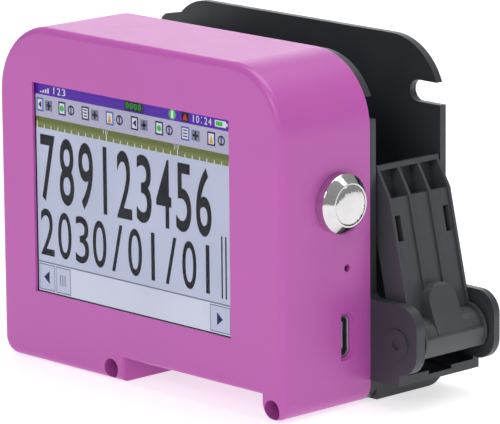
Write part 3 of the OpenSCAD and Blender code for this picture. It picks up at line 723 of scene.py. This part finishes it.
def glyph(sign, u0, v0, u1, v1, colour, level=1, weight=0.0):
    """One sign of the built-in letterform, turned into faces and fitted to a box of the page."""
    if (sign, weight) not in glyph_shapes:
        curve = bpy.data.curves.new("sign", "FONT")
        curve.body = sign
        curve.resolution_u = 5
        curve.offset = weight
        obj = bpy.data.objects.new("sign", curve)
        bpy.context.scene.collection.objects.link(obj)
        flat = plain(obj, "sign_mesh")
        points = [(v.co.x, v.co.y) for v in flat.data.vertices]
        glyph_shapes[sign, weight] = (points, [list(p.vertices) for p in flat.data.polygons])
        bpy.data.objects.remove(flat)
    points, faces = glyph_shapes[sign, weight]
    xs, ys = [p[0] for p in points], [p[1] for p in points]
    wide, tall = max(xs) - min(xs), max(ys) - min(ys)
    verts = [page_bm.verts.new(on_page(u0 + (x - min(xs)) / wide * (u1 - u0),
                                       v1 - (y - min(ys)) / tall * (v1 - v0), level))
             for x, y in points]
    for corners in faces:
        face = page_bm.faces.new([verts[i] for i in corners])
        face.material_index = page_slots[colour][0]
        face.normal_update()
        if face.normal.y > 0:
            face.normal_flip()


def line_of_signs(signs, u, pitch, wide, v0, v1, colour, level=1, weight=0.0):
    for i, sign in enumerate(signs):
        narrow = {"1": 0.26, ":": 0.2, "/": 0.8}.get(sign, 1.0)
        start = u + i * pitch + wide * (1 - narrow) / 2
        glyph(sign, start, v0, start + wide * narrow, v1, colour, level, weight)


print("page colours:", len(page_slots))

# %% [markdown]
# ## The page's upper part
# A violet bar along the top shows a counter, signal bars, a clock and a battery. Eight pairs of
# small icons stand below it, each made of a framed field and a round or square key. Later
# patches lie a hair nearer to the viewer, so nothing flickers where they overlap.

# %% Status bar and icons
patch(0, 0, 1, 1, "ground", 0)
patch(0, 0, 1, 0.057, "violet")
for k in range(5):
    patch(0.012 + 0.013 * k, 0.047 - 0.006 * k, 0.02 + 0.013 * k, 0.047, "white", 2)
line_of_signs("123", 0.09, 0.026, 0.018, 0.012, 0.045, "white", 2)
patch(0.47, 0.006, 0.565, 0.051, "black", 2)
line_of_signs("0000", 0.477, 0.021, 0.015, 0.014, 0.043, "green", 3)
disc(0.714, 0.029, 0.018, "green", 2)
patch(0.708, 0.012, 0.72, 0.046, "white", 3)
patch(0.76, 0.006, 0.797, 0.051, "black", 2)
shape([(0.766, 0.044), (0.7785, 0.012), (0.791, 0.044)], "red", 3)
line_of_signs("10:24", 0.813, 0.0205, 0.015, 0.012, 0.045, "white", 2)
patch(0.927, 0.014, 0.982, 0.044, "white", 2)
patch(0.982, 0.022, 0.99, 0.036, "white", 2)
patch(0.932, 0.019, 0.965, 0.039, "green", 3)

patch(0, 0.057, 1, 0.163, "menu")
icon_spans = ((0.005, 0.088), (0.122, 0.208), (0.245, 0.334), (0.372, 0.463), (0.502, 0.588),
              (0.627, 0.718), (0.758, 0.851), (0.889, 0.978))
for k, (start, stop) in enumerate(icon_spans):
    half = (stop - start) * 0.44
    patch(start, 0.073, start + half, 0.137, "navy" if k % 3 else "blue", 2)
    patch(start + 0.006, 0.081, start + half - 0.006, 0.129, "white", 3)
    if k % 4 == 0:
        shape([(start + 0.01, 0.105), (start + half - 0.01, 0.086), (start + half - 0.01, 0.124)],
              "navy", 4)
    elif k % 4 == 1:
        disc(start + half / 2, 0.105, 0.011, "green", 4)
    elif k % 4 == 2:
        for j in range(3):
            patch(start + 0.01, 0.087 + 0.014 * j, start + half - 0.01, 0.093 + 0.014 * j, "ink", 4)
    else:
        shape([(start + half / 2, 0.084), (start + 0.01, 0.126), (start + half - 0.01, 0.126)],
              "amber", 4)
    middle_u = stop - half / 2
    if k % 2:
        disc(middle_u, 0.105, 0.018, "navy", 2)
        disc(middle_u, 0.105, 0.012, "menu", 3)
        patch(middle_u - 0.003, 0.088, middle_u + 0.003, 0.122, "ink", 4)
    else:
        patch(stop - half, 0.08, stop, 0.13, "grey", 2)
        patch(stop - half + 0.006, 0.1, stop - 0.006, 0.11, "ink", 3)
        patch(middle_u - 0.004, 0.086, middle_u + 0.004, 0.124, "ink", 3)
print("faces so far:", len(page_bm.faces))

# %% [markdown]
# ## The page's lower part
# The ruler shows where the print will land, with a longer tick and a number at every tenth
# place. Two lines of digits stand for the text to print, the upper one taller and bolder. A
# double line marks the end of the message, and a scroll bar closes the page.

# %% Ruler, two lines of digits, cursor and scroll bar
patch(0, 0.163, 1, 0.188, "olive")
patch(0, 0.188, 1, 0.216, "moss")
for k in range(28):
    tall = 0.03 if k % 10 == 0 else 0.016
    patch(0.005 + 0.0366 * k, 0.216 - tall, 0.009 + 0.0366 * k, 0.216, "white", 2)
    if k % 10 == 0 and k:
        line_of_signs(str(k), 0.0366 * k - 0.014, 0.016, 0.012, 0.166, 0.185, "white", 2)
line_of_signs("789123456", 0.02, 0.101, 0.078, 0.245, 0.565, "ink",
              weight=0.01)
line_of_signs("2030/01/01", 0.015, 0.0925, 0.072, 0.6, 0.825, "ink",
              weight=0.004)
for u in (0.955, 0.975):
    patch(u - 0.0035, 0.544, u + 0.0035, 0.8325, "ink")
patch(0, 0.856, 1, 0.863, "grey")
patch(0, 0.863, 1, 1, "track", 1)
for u0, u1 in ((0.0, 0.087), (0.089, 0.171), (0.89, 0.995)):
    patch(u0 + 0.003, 0.868, u1, 0.994, "grey", 2)
    patch(u0 + 0.006, 0.873, u1 - 0.003, 0.989, "ground", 3)
shape([(0.028, 0.931), (0.058, 0.9), (0.058, 0.962)], "navy", 4)
shape([(0.928, 0.9), (0.928, 0.962), (0.958, 0.931)], "navy", 4)
for k in range(3):
    patch(0.115 + 0.012 * k, 0.905, 0.12 + 0.012 * k, 0.957, "grey", 4)

page = mesh_object("screen_page", page_bm)
for order, material in sorted(page_slots.values(), key=lambda entry: entry[0]):
    page.data.materials.append(material)
settle(page, nodes["touch_panel"]["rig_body"])
print("page faces:", len(page.data.polygons))

# %% [markdown]
# ## The touch glass
# A thin sheet of glass lies over the page and fills the shell's window. Behind the page a dark
# mask closes the gap to the window's edge, as the printed border does on a real panel. Only
# the glass catches the light of the room.

# %% Make the glass and its mask
glass_tree = Tree("glass")
glass_tree.set(Base_Color=(1, 1, 1, 1), Transmission_Weight=1.0, IOR=1.12,
               Roughness=glass_tree.ramp(glass_tree.noise(120, 3), 0.01, 0.05, 0.3, 0.7),
               Normal=glass_tree.bump(glass_tree.noise(30, 2), 0.02, 0.00002))
mask_material = patterned("mask", linear(16, 16, 20), linear(28, 28, 34), "cloud", 500, 0.45)
pane_low, pane_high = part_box("touch_panel")


def slab(name, low, high, material, width):
    """A flat sheet between two corners, with its edges eased."""
    bm = bmesh.new()
    corners = bmesh.ops.create_cube(bm, size=1)["verts"]
    bmesh.ops.scale(bm, verts=corners, vec=high - low)
    bmesh.ops.translate(bm, verts=corners, vec=(low + high) / 2)
    return soften(mesh_object(name + "_raw", bm, material), name, width)


glass = slab("touch_glass", pane_low, Vector((pane_high.x, pane_low.y + 0.00015, pane_high.z)),
             glass_tree.material, 0.03)
settle(glass, nodes["touch_panel"]["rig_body"], "touch_panel")
mask = slab("screen_mask", Vector((pane_low.x, pane_low.y + 0.0005, pane_low.z)), pane_high.copy(),
            mask_material, 0.05)
settle(mask, nodes["touch_panel"]["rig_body"])
print("glass from", [round(v, 4) for v in pane_low], "to", [round(v, 4) for v in pane_high])

# %% [markdown]
# ## Floor
# A product picture stands on plain paper that runs far behind the object. A wide flat sheet
# with a faint paper tooth does the same. It gives off a little light of its own, so that it
# stays pale without a lamp that would burn out the colours of the shell.

# %% Lay the floor
bm = bmesh.new()
bmesh.ops.create_grid(bm, x_segments=1, y_segments=1, size=6)
floor = mesh_object("floor", bm)
paper = Tree("floor_paper")
paper.set(Base_Color=(0.55, 0.55, 0.55, 1), Roughness=paper.ramp(paper.noise(40, 3), 0.55, 0.7),
          Normal=paper.bump(paper.noise(900, 3), 0.05, 0.00005),
          Emission_Color=(1, 1, 1, 1), Emission_Strength=0.66)
floor.data.materials.append(paper.material)
floor.location.z = -0.0002
print("floor half width in m:", 6)

# %% [markdown]
# ## Light
# Soft white light comes from all round, as in a light tent, with a broad lamp overhead that
# lights the shell's top, one low behind it that puts a sheen along the top, and a smaller one
# at the front right that sets off the button and the edges. The tent is darker low down, so
# that the chrome has something dark to show.

# %% Set the lights
world = bpy.data.worlds.new("studio")
bpy.context.scene.world = world
world.use_nodes = True
world_nodes, world_links = world.node_tree.nodes, world.node_tree.links
compass = world_nodes.new("ShaderNodeTexCoord")
split = world_nodes.new("ShaderNodeSeparateXYZ")
fall = world_nodes.new("ShaderNodeValToRGB")
fall.color_ramp.elements[0].position = 0.0
fall.color_ramp.elements[0].color = (0.75, 0.75, 0.77, 1)
fall.color_ramp.elements[1].position = 1.0
fall.color_ramp.elements[1].color = (1, 1, 1, 1)
world_links.new(compass.outputs["Generated"], split.inputs["Vector"])
world_links.new(split.outputs["Z"], fall.inputs["Fac"])
world_links.new(fall.outputs["Color"], world_nodes["Background"].inputs["Color"])
world_nodes["Background"].inputs["Strength"].default_value = 0.42


def lamp(name, place, size, power):
    """A square soft lamp aimed at the object."""
    data = bpy.data.lights.new(name, "AREA")
    data.energy = power
    data.size = size
    obj = bpy.data.objects.new(name, data)
    bpy.context.scene.collection.objects.link(obj)
    obj.rotation_euler = (Vector((0, 0, 0.04)) - Vector(place)).to_track_quat("-Z", "Y").to_euler()
    obj.location = place
    return obj


overhead = lamp("overhead", (0.1, 0.25, 1.2), 0.9, 9)
key = lamp("key", (0.5, -1.1, 0.8), 0.5, 5.2)
rear = lamp("rear", (-0.9, 1.0, 0.42), 0.9, 3.2)
bpy.context.scene.view_settings.view_transform = "Standard"
print("lamps:", [lit.data.energy for lit in (overhead, key, rear)])
